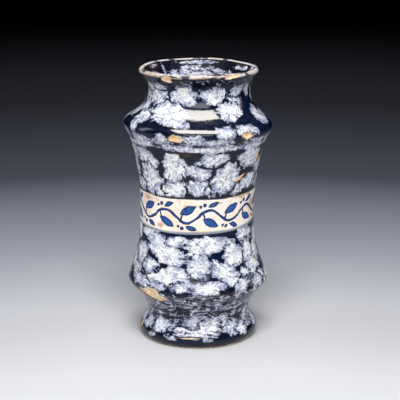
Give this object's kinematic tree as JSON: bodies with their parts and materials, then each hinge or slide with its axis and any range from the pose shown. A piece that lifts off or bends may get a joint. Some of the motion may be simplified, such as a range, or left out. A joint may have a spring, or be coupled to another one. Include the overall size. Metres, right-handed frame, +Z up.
{
  "type": "albarello",
  "caption": "Waisted drug jar of tin-glazed earthenware with a flared rolled lip, angular shoulders, a spreading foot and a pale label band on a dark sponged glaze.",
  "frame": {"origin": "on the jar's axis, on the plane of the standing ring that rests on the table", "axes": "+Z up along the jar's turning axis; the jar is round, so X and Y are free, and -Y is the side that faces the viewer"},
  "size_m": [0.1078, 0.1078, 0.2],
  "materials": {
    "clay": "bare fired earthenware, matt and slightly porous",
    "slip": "fired slip, matt",
    "ground_glaze": "glossy blue-black glaze, sponged over with white",
    "label_glaze": "glossy cream tin glaze, painted in blue",
    "lip_glaze": "thin worn white glaze",
    "inner_glaze": "glossy mottled glaze lining"
  },
  "bodies": {
    "root": {"foot": "clay", "foot_slip": "slip", "body_wall": "clay", "shoulder_slip": "slip", "neck_and_shoulder": "clay", "lower_glaze": "ground_glaze", "label_band": "label_glaze", "upper_glaze": "ground_glaze", "lip_glaze": "lip_glaze", "inner_glaze": "inner_glaze"}
  },
  "joints": []
}
